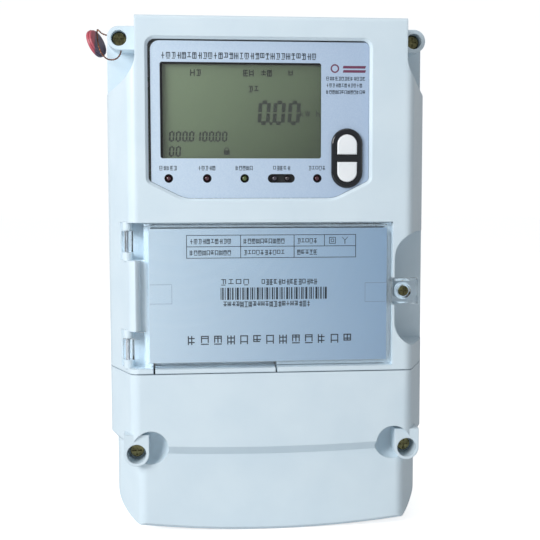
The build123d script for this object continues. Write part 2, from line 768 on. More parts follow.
def make_hanging_plate():
    """Steel plate with the keyhole that hooks over the upper wall screw."""
    z = hanger_centre()
    keyhole_z = z - HANGER_SLOT_RISE / 2
    plate = slab(Pos(0, z) * rounded(HANGER_WIDTH, HANGER_HEIGHT, HANGER_CORNER), 0, HANGER_THICKNESS)
    plate = plate - stud(0, keyhole_z, HANGER_KEYHOLE_RADIUS, -PAST, HANGER_THICKNESS + PAST)
    slot_top = keyhole_z + HANGER_SLOT_RISE
    plate = plate - stud(0, slot_top, HANGER_SLOT_RADIUS, -PAST, HANGER_THICKNESS + PAST)
    plate = plate - block(-HANGER_SLOT_RADIUS, HANGER_SLOT_RADIUS, keyhole_z, slot_top, -PAST,
                          HANGER_THICKNESS + PAST)
    for side in (-1, 1):
        x = side * (HANGER_WIDTH / 2 - RIVET_INSET)
        plate = plate - stud(x, z, RIVET_HEAD, -PAST, RIVET_HEAD_HEIGHT)
        plate = plate - stud(x, z, RIVET_RADIUS + PIN_FIT, -PAST, HANGER_THICKNESS + PAST)
    return plate


def make_hanger_rivets():
    """Two flush rivets that hold the hanging plate."""
    def rivet(side):
        x = side * (HANGER_WIDTH / 2 - RIVET_INSET)
        head = stud(x, hanger_centre(), RIVET_HEAD - FIT, 0, RIVET_HEAD_HEIGHT)
        return head + stud(x, hanger_centre(), RIVET_RADIUS, 0, HANGER_THICKNESS + RIVET_GRIP)
    return both_sides(rivet)


# ================================================================ main cover
def window_outline(grow=0.0):
    """Front view of the display window: rounded top, swept lower corners."""
    corners = [
        (WINDOW_LEFT, WINDOW_TOP),
        (WINDOW_RIGHT, WINDOW_TOP),
        (WINDOW_RIGHT, WINDOW_BOTTOM + WINDOW_SWEEP_Z),
        (WINDOW_RIGHT - WINDOW_SWEEP_X, WINDOW_BOTTOM),
        (WINDOW_LEFT + WINDOW_SWEEP_X, WINDOW_BOTTOM),
        (WINDOW_LEFT, WINDOW_BOTTOM + WINDOW_SWEEP_Z),
    ]
    face = make_face(Polyline(*corners, close=True))
    tops = face.vertices().filter_by(lambda v: abs(v.Y - WINDOW_TOP) < 0.01)
    face = fillet(tops, WINDOW_TOP_RADIUS)
    sweeps = face.vertices().filter_by(lambda v: abs(v.Y - WINDOW_BOTTOM) < 0.01)
    face = fillet(sweeps, WINDOW_SWEEP_RADIUS)
    shoulders = face.vertices().filter_by(lambda v: abs(v.Y - WINDOW_BOTTOM - WINDOW_SWEEP_Z) < 0.01)
    face = fillet(shoulders, WINDOW_SHOULDER_RADIUS)
    if grow:
        face = offset(face, grow, kind=Kind.INTERSECTION)
    return face


def notch_outline(side, grow=0.0):
    """Front view of the corner cut away round an upper lug, grown by a wall inside the shell."""
    edge = HALF - NOTCH_EDGE_INSET - grow
    bend = TOP - NOTCH_BOTTOM_DROP
    reach = NOTCH_SWEEP_RADIUS + grow
    sweep = radians(NOTCH_SWEEP_ANGLE)
    end = (edge + reach * (1 - cos(sweep)), bend - reach * sin(sweep))
    middle = (edge + reach * (1 - cos(sweep / 2)), bend - reach * sin(sweep / 2))
    far = HALF + AMPLE
    drop = (far - end[0]) / tan(sweep)
    face = make_face([
        Line((edge, TOP + AMPLE), (edge, bend)),
        ThreePointArc((edge, bend), middle, end),
        Line(end, (far, end[1] - drop)),
        Polyline((far, end[1] - drop), (far, TOP + AMPLE), (edge, TOP + AMPLE)),
    ])
    return face if side > 0 else mirror(face, about=Plane.YZ)


def grip_outline(grow=0.0):
    """Front view of the finger grip cut into the right-hand side."""
    left = GRIP_LEFT - grow
    low = GRIP_BOTTOM - grow
    high = GRIP_BOTTOM + GRIP_HEIGHT + grow
    far = HALF + AMPLE
    face = make_face(Polyline((left, low), (far, low), (far, high), (left, high), close=True))
    corners = face.vertices().filter_by(lambda v: abs(v.X - left) < 0.01)
    return fillet(corners, GRIP_RADIUS + grow)


def hinge_pocket(index):
    """Lower edge of one of the two hinge pockets: 0 is the lower one."""
    low = DOOR_BOTTOM - DOOR_GAP
    high = DOOR_TOP + DOOR_GAP - POCKET_HEIGHT
    return (low, high)[index]


def shell_walls():
    """Solid stock left inside the main cover round every recess."""
    low = DOOR_BOTTOM - DOOR_GAP
    high = DOOR_TOP + DOOR_GAP
    left = DOOR_LEFT - DOOR_GAP
    right = DOOR_RIGHT + DOOR_GAP
    stock = [block(left - WELL_WALL, right + WELL_WALL, low - WALL, high + WELL_WALL,
                   WELL_FLOOR - WELL_WALL, DEPTH)]
    stock.append(slab(grip_outline(WALL), GRIP_FLOOR - WALL, DEPTH))
    for index in (0, 1):
        z = hinge_pocket(index)
        stock.append(block(-HALF, left, z - POCKET_WALL, z + POCKET_HEIGHT + POCKET_WALL,
                           POCKET_FLOOR - POCKET_WALL, DEPTH))
    for side in (-1, 1):
        stock.append(slab(notch_outline(side, WALL), NOTCH_FLOOR - WALL, DEPTH))
        x, z = top_lug(side)
        stock.append(stud(x, z, TOP_LUG_RADIUS, BASE_DEPTH + RIM_GAP, NOTCH_FLOOR))
    return stock


def lug_shape(side):
    """Front view of an upper lug: round outside, square towards the case."""
    x, z = top_lug(side)
    root = side * (HALF - NOTCH_EDGE_INSET - PAST)
    width = abs(x - root)
    return Pos(x, z) * Circle(TOP_LUG_RADIUS) + Pos((x + root) / 2, z) * Rectangle(width, 2 * TOP_LUG_RADIUS)


def cover_recesses():
    """Window, door well, hinge pockets, grip, notches and seam slots of the main cover."""
    left = DOOR_LEFT - DOOR_GAP
    right = DOOR_RIGHT + DOOR_GAP
    low = DOOR_BOTTOM - DOOR_GAP
    high = DOOR_TOP + DOOR_GAP
    cuts = [slab(window_outline(-WINDOW_BEVEL), DEPTH - WALL - PANE_THICKNESS - PAST, DEPTH + PAST)]
    bevel = front_plane(DEPTH) * window_outline()
    inner = front_plane(DEPTH - WINDOW_BEVEL) * window_outline(-WINDOW_BEVEL)
    cuts.append(loft([bevel, inner]))
    cuts.append(block(left, right, low, high, DOOR_LEDGE, DEPTH + PAST))
    cuts.append(block(DOOR_LEFT + WELL_MARGIN, DOOR_RIGHT - WELL_MARGIN, DOOR_BOTTOM + WELL_END_MARGIN,
                      DOOR_TOP - WELL_END_MARGIN, WELL_FLOOR, DEPTH + PAST))
    cuts.append(slab(grip_outline(), GRIP_FLOOR, DEPTH + PAST))
    tab_low = TAB_BOTTOM - DOOR_GAP
    cuts.append(block(right - PAST, HALF + PAST, tab_low, tab_low + TAB_HEIGHT + 2 * DOOR_GAP,
                      TAB_BACK - TAB_BOSS_GAP, DEPTH + PAST))
    for index in (0, 1):
        z = hinge_pocket(index)
        cuts.append(block(-HALF - PAST, left + PAST, z, z + POCKET_HEIGHT, POCKET_FLOOR, DEPTH + PAST))
    for side in (-1, 1):
        cuts.append(slab(notch_outline(side), NOTCH_FLOOR, DEPTH + PAST))
    cuts.append(block(MODULE_LEFT - MODULE_SLOT_LEFT, MODULE_LEFT + MODULE_WIDTH + MODULE_SLOT_RIGHT,
                      SEAM - PAST, DOOR_BOTTOM + MODULE_SLOT_RISE, MODULE_LIP_BACK - PAST, DEPTH + PAST))
    block_room = BLOCK_HALF + BLOCK_CLEARANCE
    cuts.append(block(-block_room, block_room, SEAM - PAST, SEAM + WALL + PAST, BASE_DEPTH - PAST,
                      BLOCK_FRONT + BLOCK_CLEARANCE))
    return cuts


def make_main_cover():
    """Upper cover: one moulding with window, door well, lugs, hinge ears and finger grip."""
    outer = prism(case_plan(HALF, DEPTH), SEAM, TOP) & slab(case_front_view(), BASE_DEPTH, DEPTH)
    outer = outer & eased_front(SEAM, TOP, EDGE_RADIUS, TOP_EDGE_RADIUS)
    inside = prism(case_plan(HALF, DEPTH, WALL), SEAM + WALL, TOP - WALL)
    inside = inside & slab(case_front_view(WALL), BASE_DEPTH - PAST, DEPTH)
    inside = inside - joined(shell_walls())
    cover = outer - inside
    for cut in cover_recesses():
        cover = cover - cut
    for side in (-1, 1):
        cover = cover + slab(lug_shape(side), BASE_DEPTH + RIM_GAP, TOP_LUG_FACE)
    cover = cover + hinge_ears()
    cover = cover + tab_boss()
    for cut in cover_drillings():
        cover = cover - cut
    return cover


def hinge_ears():
    """The four round ears, two in each pocket, that carry the hinge pins."""
    ears = []
    for index in (0, 1):
        z = hinge_pocket(index)
        for low in (z, z + POCKET_HEIGHT - EAR_HEIGHT):
            ear = rod(HINGE_X, HINGE_DEPTH, EAR_RADIUS, low - EAR_ROOT, low + EAR_HEIGHT)
            if low > z:
                ear = rod(HINGE_X, HINGE_DEPTH, EAR_RADIUS, low, low + EAR_HEIGHT + EAR_ROOT)
            web = block(HINGE_X - EAR_WEB_HALF, HINGE_X + EAR_WEB_HALF, low, low + EAR_HEIGHT,
                        POCKET_FLOOR - PAST, HINGE_DEPTH)
            ears.append(ear + web)
    return joined(ears)


def tab_boss():
    """Round boss in the finger grip that the door's seal screw goes into."""
    top = TAB_BACK - TAB_BOSS_GAP
    return stud(TAB_SCREW_X, TAB_SCREW_Z, TAB_BOSS_RADIUS, GRIP_FLOOR - PAST, top)


def cover_drillings():
    """Screw, pin, button, connector and seal-wire holes of the main cover."""
    cuts = []
    for side in (-1, 1):
        x, z = top_lug(side)
        seat = TOP_LUG_FACE - SEAL_HEAD_HEIGHT - TOP_LUG_SINK
        cuts.append(stud(x, z, TOP_LUG_BORE, seat, TOP_LUG_FACE + PAST))
        cuts.append(stud(x, z, SEAL_SCREW_SHANK + SCREW_CLEARANCE, BASE_DEPTH - PAST, seat + PAST))
    for index in (0, 1):
        z = hinge_pocket(index)
        cuts.append(rod(HINGE_X, HINGE_DEPTH, HINGE_PIN, z, z + POCKET_HEIGHT))
    insert = TAB_SHANK + SCREW_CLEARANCE + TAB_INSERT_WALL
    top = TAB_BACK - TAB_BOSS_GAP
    cuts.append(stud(TAB_SCREW_X, TAB_SCREW_Z, insert, top - TAB_INSERT_LENGTH, top + PAST))
    cuts.append(stud(TAB_SCREW_X, TAB_SCREW_Z, TAB_SHANK + SCREW_CLEARANCE, TAB_SHANK_DEPTH - 2 * PAST,
                     top + PAST))
    cuts.append(stud(PROGRAM_X, PROGRAM_Z, PROGRAM_STEM + PROGRAM_CLEARANCE, WELL_FLOOR - 2 * WELL_WALL,
                     WELL_FLOOR + PAST))
    x, z = socket_centre()
    half_x = HEADER_HALF_WIDTH + HEADER_GAP
    half_z = HEADER_HALF_HEIGHT + HEADER_GAP
    cuts.append(block(x - half_x, x + half_x, z - half_z, z + half_z, WELL_FLOOR - 2 * WELL_WALL,
                      WELL_FLOOR + PAST))
    x, z = top_lug(-1)
    start = SEAL_WIRE_ROUTE[0]
    upright = Pos(x + SEAL_HOLE_SHIFT, start[1], z - TOP_LUG_RADIUS)
    cuts.append(upright * Cylinder(SEAL_HOLE_RADIUS, SEAL_UPRIGHT_HOLE))
    end = SEAL_WIRE_ROUTE[-1]
    across = Pos(end[0] - SEAL_HOLE_SHIFT, end[1], end[2]) * Rot(0, 90, 0)
    cuts.append(across * Cylinder(SEAL_HOLE_RADIUS, SEAL_SIDE_HOLE))
    cuts.append(strip_easing())
    return cuts


def strip_easing():
    """Stock taken off the rounded edge of the strip between the two hinge pockets."""
    low = hinge_pocket(0) + POCKET_HEIGHT
    high = hinge_pocket(1)
    edge = DOOR_LEFT - STRIP_GAP
    centre = edge - STRIP_RADIUS
    corner = block(centre, DOOR_LEFT, low, high, DOOR_LEDGE, DEPTH + PAST)
    round_edge = rod(centre, DEPTH - STRIP_RADIUS, STRIP_RADIUS, low - PAST, high + PAST)
    root = block(centre - PAST, edge, low - PAST, high + PAST, DOOR_LEDGE - PAST, DEPTH - STRIP_RADIUS)
    return corner - round_edge - root


def socket_centre():
    """Front-view centre of the socket that the communication module plugs on to."""
    return MODULE_LEFT + MODULE_WIDTH / 2, DOOR_BOTTOM + HEADER_RISE


# ================================================================ display and buttons
def make_display_pane():
    """Clear window pane fixed behind the front wall."""
    face = DEPTH - WALL
    pane = slab(window_outline(PANE_LAP - WINDOW_BEVEL), face - PANE_THICKNESS, face)
    return pane - joined(label_holes(face - PANE_THICKNESS - PAST, face + PAST))


def label_holes(depth_from, depth_to):
    """Holes for the lamps, the infrared pair and the button frame."""
    holes = []
    for x in LED_POSITIONS.values():
        holes.append(stud(x, LED_Z, LED_HOLE, depth_from, depth_to))
    slot = Pos(INFRARED_X, LED_Z) * stadium(INFRARED_LENGTH, 2 * LED_HOLE)
    holes.append(slab(slot, depth_from, depth_to))
    holes.append(slab(button_outline(-BUTTON_FRAME_NECK + FIT), depth_from, depth_to))
    return holes


def button_outline(grow=0.0):
    """Stadium outline of the button surround."""
    return Pos(BUTTON_X, BUTTON_Z) * stadium(BUTTON_FRAME_WIDTH + 2 * grow, BUTTON_FRAME_HEIGHT + 2 * grow)


def make_faceplate():
    """Printed metallised film on the pane, with the display aperture and lamp holes."""
    face = DEPTH - WALL
    outline = window_outline(-WINDOW_BEVEL - LABEL_GAP)
    low = WINDOW_BOTTOM - PAST
    right = WINDOW_RIGHT + PAST
    left = WINDOW_LEFT + WINDOW_BEVEL + LABEL_GAP_LEFT
    top = WINDOW_TOP - WINDOW_BEVEL - LABEL_GAP_TOP
    trim = Pos((left + right) / 2, (low + top) / 2) * rounded(right - left, top - low, FILM_CORNER)
    trim = trim + Pos((left + right) / 2, low + FILM_SQUARED) * Rectangle(right - left, 2 * FILM_SQUARED)
    trim = trim + Pos(right - FILM_SQUARED / 2, (low + top) / 2) * Rectangle(FILM_SQUARED, top - low)
    film = slab(outline & trim, face, face + LABEL_THICKNESS)
    middle = Pos(LCD_LEFT + LCD_WIDTH / 2, LCD_TOP - LCD_HEIGHT / 2)
    aperture = middle * rounded(LCD_WIDTH, LCD_HEIGHT, LCD_CORNER)
    film = film - slab(aperture, face - PAST, face + PAST)
    return film - joined(label_holes(face - PAST, face + PAST))


def lcd_block(grow, depth_from, depth_to):
    """A block behind the display aperture, larger than it all round."""
    return block(LCD_LEFT - grow, LCD_LEFT + LCD_WIDTH + grow, LCD_TOP - LCD_HEIGHT - grow, LCD_TOP + grow,
                 depth_from, depth_to)


def make_lcd_glass():
    """Liquid-crystal panel."""
    return lcd_block(LCD_LAP, LCD_FACE - LCD_GLASS, LCD_FACE)


def make_backlight():
    """Light-guide block behind the panel."""
    front = LCD_FACE - LCD_GLASS
    return lcd_block(LCD_LAP - BACKLIGHT_INSET, front - BACKLIGHT_THICKNESS, front)


def make_lcd_bezel():
    """Black frame that holds panel and light guide on the display board."""
    front = DEPTH - WALL - PANE_THICKNESS
    grow = LCD_LAP + FIT
    frame = lcd_block(grow + BEZEL_WALL, DISPLAY_BOARD_FACE, front)
    frame = frame - lcd_block(grow, DISPLAY_BOARD_FACE - PAST, LCD_FACE + PIN_FIT)
    view = block(LCD_LEFT + BEZEL_SHOW_LEFT, LCD_LEFT + LCD_WIDTH + BEZEL_HIDDEN,
                 LCD_TOP - LCD_HEIGHT - BEZEL_HIDDEN, LCD_TOP - BEZEL_SHOW_TOP, LCD_FACE - PAST, front + PAST)
    return frame - view


def make_lcd_pins():
    """Row of contact pins between the panel's lower edge and the display board."""
    pins = []
    middle = LCD_LEFT + LCD_WIDTH / 2
    low = LCD_TOP - LCD_HEIGHT - LCD_LAP
    for index in range(LCD_PIN_COUNT):
        x = middle + (index - (LCD_PIN_COUNT - 1) / 2) * LCD_PIN_PITCH
        half = LCD_PIN_SIDE / 2
        pins.append(block(x - half, x + half, low, low + LCD_PIN_HEIGHT, DISPLAY_BOARD_FACE,
                          LCD_FACE - LCD_GLASS))
    return pins


def lamp(x, radius, tip):
    """A domed lamp on the display board."""
    body = stud(x, LED_Z, radius, DISPLAY_BOARD_FACE, tip)
    return fillet(edges_at_depth(body, tip), radius * LED_DOME)


def make_lamps(names):
    """Signal lamps at the named positions."""
    return [lamp(LED_POSITIONS[name], LED_RADIUS, LED_TIP) for name in names]


def make_lamp_sleeves():
    """Black sleeves that space the lamps and keep their light apart."""
    low = DISPLAY_BOARD_FACE
    top = DEPTH - WALL - PANE_THICKNESS
    sleeves = []
    for x in LED_POSITIONS.values():
        inner = LED_RADIUS + SLEEVE_GAP
        outer = stud(x, LED_Z, LED_HOLE + SLEEVE_WALL, low, top)
        sleeves.append(outer - stud(x, LED_Z, inner, low - PAST, top + PAST))
    outer = slab(Pos(INFRARED_X, LED_Z) * stadium(INFRARED_LENGTH + 2 * SLEEVE_WALL,
                                                  2 * (LED_HOLE + SLEEVE_WALL)), low, top)
    for side in (-1, 1):
        x = INFRARED_X + side * INFRARED_SPACING / 2
        outer = outer - stud(x, LED_Z, LED_RADIUS + SLEEVE_GAP, low - PAST, top + PAST)
    sleeves.append(outer)
    return sleeves


def make_button_frame():
    """Glossy stadium surround with a bar between its two openings."""
    face = DEPTH - WALL + LABEL_THICKNESS
    rim = slab(button_outline(), face, BUTTON_FRAME_FACE)
    rim = fillet(edges_at_depth(rim, BUTTON_FRAME_FACE), BUTTON_FRAME_EDGE)
    frame = rim + slab(button_outline(-BUTTON_FRAME_NECK), BUTTON_FRAME_BACK, face)
    for side in (-1, 1):
        frame = frame - slab(button_opening(side, 0.0), BUTTON_FRAME_BACK - PAST, DEPTH + PAST)
    return frame


def button_opening(side, grow):
    """Half-stadium outline of the upper (+1) or lower (-1) button opening."""
    opening = stadium(BUTTON_OPENING_WIDTH + 2 * grow, BUTTON_OPENING_HEIGHT + 2 * grow)
    whole = Pos(BUTTON_X, BUTTON_Z) * opening
    edge = BUTTON_DIVIDER / 2 - grow
    return whole & button_side(side, edge)


def button_side(side, edge):
    """Everything above (+1) or below (-1) a line at this distance from the middle of the buttons."""
    middle = Pos(BUTTON_X, BUTTON_Z + side * (edge + BUTTON_FRAME_HEIGHT / 2))
    return middle * Rectangle(2 * BUTTON_FRAME_WIDTH, BUTTON_FRAME_HEIGHT)


def make_button(side):
    """Push button: crowned cap, guide, retaining flange and stem."""
    cap = slab(button_opening(side, -BUTTON_GAP), BUTTON_FRAME_BACK - PAST, BUTTON_FACE)
    cap = fillet(edges_at_depth(cap, BUTTON_FACE), BUTTON_CROWN)
    top = BUTTON_FRAME_BACK - BUTTON_GAP
    keep = button_side(side, BUTTON_DIVIDER / 2 - BUTTON_GAP)
    flange_shape = button_opening(side, BUTTON_FLANGE_LAP) & keep
    flange = slab(flange_shape, top - BUTTON_FLANGE, top)
    x, z = button_centre(side)
    stem = stud(x, z, BUTTON_STEM, switch_face() + BUTTON_TRAVEL + BUTTON_GAP, top)
    return cap + flange + stem


def button_centre(side):
    """Centre of a button's stem and switch."""
    return BUTTON_X, BUTTON_Z + side * (BUTTON_OPENING_HEIGHT / 4 + BUTTON_DIVIDER / 4)


def switch_face():
    """Depth of a display switch's plunger face."""
    return DISPLAY_BOARD_FACE + SWITCH_HEIGHT


def tact_switch(x, z, board_face, height):
    """Small square switch with a round plunger."""
    body = block(x - SWITCH_HALF, x + SWITCH_HALF, z - SWITCH_HALF, z + SWITCH_HALF, board_face,
                 board_face + height - PLUNGER_RISE)
    return body + stud(x, z, PLUNGER_RADIUS, board_face, board_face + height)


def make_display_switches():
    """Two switches under the display buttons."""
    return [tact_switch(*button_centre(side), DISPLAY_BOARD_FACE, SWITCH_HEIGHT) for side in (-1, 1)]


def make_display_board():
    """Circuit board behind the display window."""
    left = WINDOW_LEFT + DISPLAY_BOARD_MARGIN
    right = WINDOW_RIGHT - DISPLAY_BOARD_MARGIN
    board = block(left, right, WINDOW_BOTTOM - DISPLAY_BOARD_LOW, WINDOW_TOP - DISPLAY_BOARD_HIGH,
                  DISPLAY_BOARD_DEPTH, DISPLAY_BOARD_FACE)
    return fillet(board.edges().filter_by(Axis.Y), BOARD_CORNER)


# ================================================================ door
def make_door():
    """Clear door: bevelled panel, rim, two hinge arms with barrels, and the sealing tab."""
    panel = block(DOOR_LEFT, DOOR_RIGHT, DOOR_BOTTOM, DOOR_TOP, DOOR_BACK, DOOR_FACE)
    panel = chamfer(edges_at_depth(panel, DOOR_FACE), DOOR_BEVEL)
    hollow = block(DOOR_LEFT + DOOR_RIM_WALL, DOOR_RIGHT - DOOR_RIM_WALL, DOOR_BOTTOM + DOOR_RIM_WALL,
                   DOOR_TOP - DOOR_RIM_WALL, DOOR_BACK - PAST, DOOR_FACE - DOOR_PANEL)
    door = panel - hollow
    low_end = hinge_pocket(0) + POCKET_HEIGHT
    high_end = hinge_pocket(1)
    door = door - block(DOOR_LEFT - PAST, DOOR_LEFT + DOOR_HINGE_SETBACK, low_end, high_end, 0, DEPTH + PAST)
    for index in (0, 1):
        door = door + hinge_arm(hinge_pocket(index))
    door = door + door_tab()
    for index in (0, 1):
        z = hinge_pocket(index)
        door = door - rod(HINGE_X, HINGE_DEPTH, HINGE_PIN + HINGE_RUNNING, z, z + POCKET_HEIGHT)
    pocket = stud(TAB_SCREW_X, TAB_SCREW_Z, TAB_POCKET_RADIUS, TAB_POCKET_FLOOR, DEPTH + PAST)
    hole = stud(TAB_SCREW_X, TAB_SCREW_Z, TAB_SHANK + FIT, 0, DEPTH)
    return door - pocket - hole


def hinge_arm(pocket_low):
    """One arm: a full-height root beside the door and a barrel between the ears."""
    low = pocket_low + ARM_GAP
    high = pocket_low + POCKET_HEIGHT - ARM_GAP
    root = block(DOOR_LEFT - ARM_ROOT, DOOR_LEFT + ARM_OVERLAP, low, high, DOOR_BACK, DOOR_FACE)
    barrel_low = pocket_low + EAR_HEIGHT + HINGE_END_GAP
    barrel_high = pocket_low + POCKET_HEIGHT - EAR_HEIGHT - HINGE_END_GAP
    barrel = rod(HINGE_X, HINGE_DEPTH, BARREL_RADIUS, barrel_low, barrel_high)
    top = HINGE_DEPTH + BARREL_RADIUS
    left = DOOR_LEFT - ARM_ROOT
    web = block(HINGE_X, left + ARM_OVERLAP, barrel_low, barrel_high, top - ARM_THICKNESS, top)
    riser = block(left, left + RISER_THICKNESS, barrel_low, barrel_high, top - ARM_THICKNESS, DOOR_FACE)
    return root + barrel + web + riser


def door_tab():
    """Bevelled sealing tab on the door's free edge."""
    top = TAB_BOTTOM + TAB_HEIGHT
    tab = block(DOOR_RIGHT - PAST, DOOR_RIGHT + TAB_WIDTH, TAB_BOTTOM, top, TAB_BACK, DOOR_FACE)
    edges = edges_at_depth(tab, DOOR_FACE).sort_by(Axis.X)[1:]
    tab = chamfer(edges, TAB_BEVEL)
    return tab - block(DOOR_RIGHT - 2 * PAST, DOOR_RIGHT + DOOR_GAP, TAB_BOTTOM - PAST, top + PAST,
                       TAB_BACK - PAST, DOOR_BACK)


def make_door_screw():
    """Brass captive screw of the door tab."""
    return screw(TAB_SCREW_X, TAB_SCREW_Z, TAB_SHANK, TAB_HEAD_RADIUS, TAB_POCKET_FLOOR, TAB_HEAD_HEIGHT,
                 TAB_SHANK_DEPTH)


def make_door_insert():
    """Brass insert in the tab boss."""
    top = TAB_BACK - TAB_BOSS_GAP
    bore = TAB_SHANK + SCREW_CLEARANCE
    outer = stud(TAB_SCREW_X, TAB_SCREW_Z, bore + TAB_INSERT_WALL, top - TAB_INSERT_LENGTH, top)
    return outer - stud(TAB_SCREW_X, TAB_SCREW_Z, bore, 0, DEPTH)


def make_rating_plate():
    """Printed card held inside the door's rim."""
    left = DOOR_LEFT + DOOR_HINGE_SETBACK + PLATE_SETBACK + PLATE_GAP
    return block(left, DOOR_RIGHT - DOOR_RIM_WALL - PLATE_GAP, DOOR_BOTTOM + DOOR_RIM_WALL + PLATE_GAP,
                 DOOR_TOP - DOOR_RIM_WALL - PLATE_GAP, DOOR_FACE - DOOR_PANEL - PLATE_THICKNESS,
                 DOOR_FACE - DOOR_PANEL)


def make_hinge_pins():
    """Two steel hinge pins, fixed in the ears."""
    pins = []
    for index in (0, 1):
        z = hinge_pocket(index)
        pins.append(rod(HINGE_X, HINGE_DEPTH, HINGE_PIN, z + FIT, z + POCKET_HEIGHT - FIT))
    return pins


# ================================================================ behind the door
def make_communication_module():
    """Plug-in communication module; its lip shows under the door."""
    right = MODULE_LEFT + MODULE_WIDTH
    low = DOOR_BOTTOM + WELL_END_MARGIN + MODULE_CLEARANCE
    back = WELL_FLOOR + MODULE_CLEARANCE
    body = block(MODULE_LEFT, right, low, low + MODULE_HEIGHT, back, MODULE_FACE)
    body = fillet(edges_at_depth(body, MODULE_FACE), MODULE_EDGE)
    body = body - block(MODULE_LEFT + MODULE_WALL, right - MODULE_WALL, low + MODULE_WALL,
                        low + MODULE_HEIGHT - MODULE_WALL, back - PAST, MODULE_FACE - MODULE_WALL)
    web = block(MODULE_LEFT, right, SEAM, low + PAST, MODULE_LIP_BACK, MODULE_LIP_BACK + MODULE_WEB)
    lip = block(MODULE_LEFT, right, SEAM, SEAM + MODULE_LIP_THICKNESS, MODULE_LIP_BACK, DEPTH)
    lip = fillet(edges_at_depth(lip, DEPTH).sort_by(Axis.Z)[:1], EDGE_RADIUS)
    latch_x = MODULE_LEFT + MODULE_WIDTH / 2
    latch = block(latch_x - MODULE_LATCH_WIDTH / 2, latch_x + MODULE_LATCH_WIDTH / 2,
                  low + MODULE_HEIGHT - PAST, low + MODULE_HEIGHT + MODULE_LATCH_RISE,
                  MODULE_FACE - MODULE_LATCH_BACK, MODULE_FACE - MODULE_LATCH_FRONT)
    return body + web + lip + latch


def make_module_board():
    """Circuit board inside the communication module."""
    low = DOOR_BOTTOM + WELL_END_MARGIN + MODULE_CLEARANCE
    inset = MODULE_WALL + MODULE_CLEARANCE
    depth = WELL_FLOOR + MODULE_BOARD_RISE
    return block(MODULE_LEFT + inset, MODULE_LEFT + MODULE_WIDTH - inset, low + inset,
                 low + MODULE_HEIGHT - inset, depth, depth + BOARD_THICKNESS)


def make_module_socket():
    """Pin header that joins the communication module to the main board."""
    x, z = socket_centre()
    pillar = block(x - HEADER_HALF_WIDTH, x + HEADER_HALF_WIDTH, z - HEADER_HALF_HEIGHT,
                   z + HEADER_HALF_HEIGHT, COMPONENT_BASE, WELL_FLOOR - PAST)
    half = HEADER_PIN_HALF
    for index in range(HEADER_PINS):
        pin_x = x + (index - (HEADER_PINS - 1) / 2) * HEADER_PITCH
        pillar = pillar + block(pin_x - half, pin_x + half, z - half, z + half, COMPONENT_BASE,
                                WELL_FLOOR + HEADER_PIN_REACH)
    return pillar


def battery_depth():
    """Depth of the clock battery's centre line."""
    return WELL_FLOOR + HOLDER_WALL + BATTERY_RADIUS + HOLDER_FIT


def make_clock_battery():
    """Half-size lithium cell for the clock, upright in its holder."""
    half = BATTERY_LENGTH / 2
    can = rod(BATTERY_X, battery_depth(), BATTERY_RADIUS, BATTERY_Z - half, BATTERY_Z + half)
    can = fillet(can.edges().filter_by(GeomType.CIRCLE), BATTERY_EDGE)
    top = BATTERY_Z + half + BATTERY_CAP
    return can + rod(BATTERY_X, battery_depth(), BATTERY_CAP_RADIUS, BATTERY_Z, top)


def make_battery_holder():
    """Open cradle for the clock battery."""
    half_x = BATTERY_RADIUS + HOLDER_WALL + HOLDER_FIT
    half_z = BATTERY_LENGTH / 2 + HOLDER_WALL + CONTACT_THICKNESS + CONTACT_GAP + BATTERY_CAP
    tray = block(BATTERY_X - half_x, BATTERY_X + half_x, BATTERY_Z - half_z, BATTERY_Z + half_z,
                 WELL_FLOOR, WELL_FLOOR + HOLDER_HEIGHT + HOLDER_WALL)
    inner_z = half_z - HOLDER_WALL
    reach = BATTERY_RADIUS + HOLDER_FIT
    cradle = rod(BATTERY_X, battery_depth(), reach, BATTERY_Z - inner_z, BATTERY_Z + inner_z)
    mouth = block(BATTERY_X - reach, BATTERY_X + reach, BATTERY_Z - inner_z, BATTERY_Z + inner_z,
                  battery_depth(), DEPTH)
    return tray - cradle - mouth


def make_battery_contacts():
    """Two spring contacts at the ends of the cell."""
    def contact(side):
        end = BATTERY_LENGTH / 2 + CONTACT_GAP + BATTERY_CAP
        edges = sorted((BATTERY_Z + side * end, BATTERY_Z + side * (end + CONTACT_THICKNESS)))
        depth = battery_depth()
        return block(BATTERY_X - CONTACT_HALF, BATTERY_X + CONTACT_HALF, edges[0], edges[1],
                     depth - CONTACT_BACK, depth + CONTACT_FRONT)
    return both_sides(contact)


def make_program_button():
    """Programming button that is reached only with the door open."""
    head = stud(PROGRAM_X, PROGRAM_Z, PROGRAM_HEAD_RADIUS, PROGRAM_HEAD_DEPTH,
                PROGRAM_HEAD_DEPTH + PROGRAM_HEAD_HEIGHT)
    head = fillet(edges_at_depth(head, PROGRAM_HEAD_DEPTH + PROGRAM_HEAD_HEIGHT), PROGRAM_EDGE)
    return head + stud(PROGRAM_X, PROGRAM_Z, PROGRAM_STEM, PROGRAM_STEM_DEPTH, PROGRAM_HEAD_DEPTH)


def make_program_switch():
    """Switch under the programming button."""
    height = PROGRAM_STEM_DEPTH - PROGRAM_TRAVEL - PROGRAM_CLEARANCE - COMPONENT_BASE
    return tact_switch(PROGRAM_X, PROGRAM_Z, COMPONENT_BASE, height)


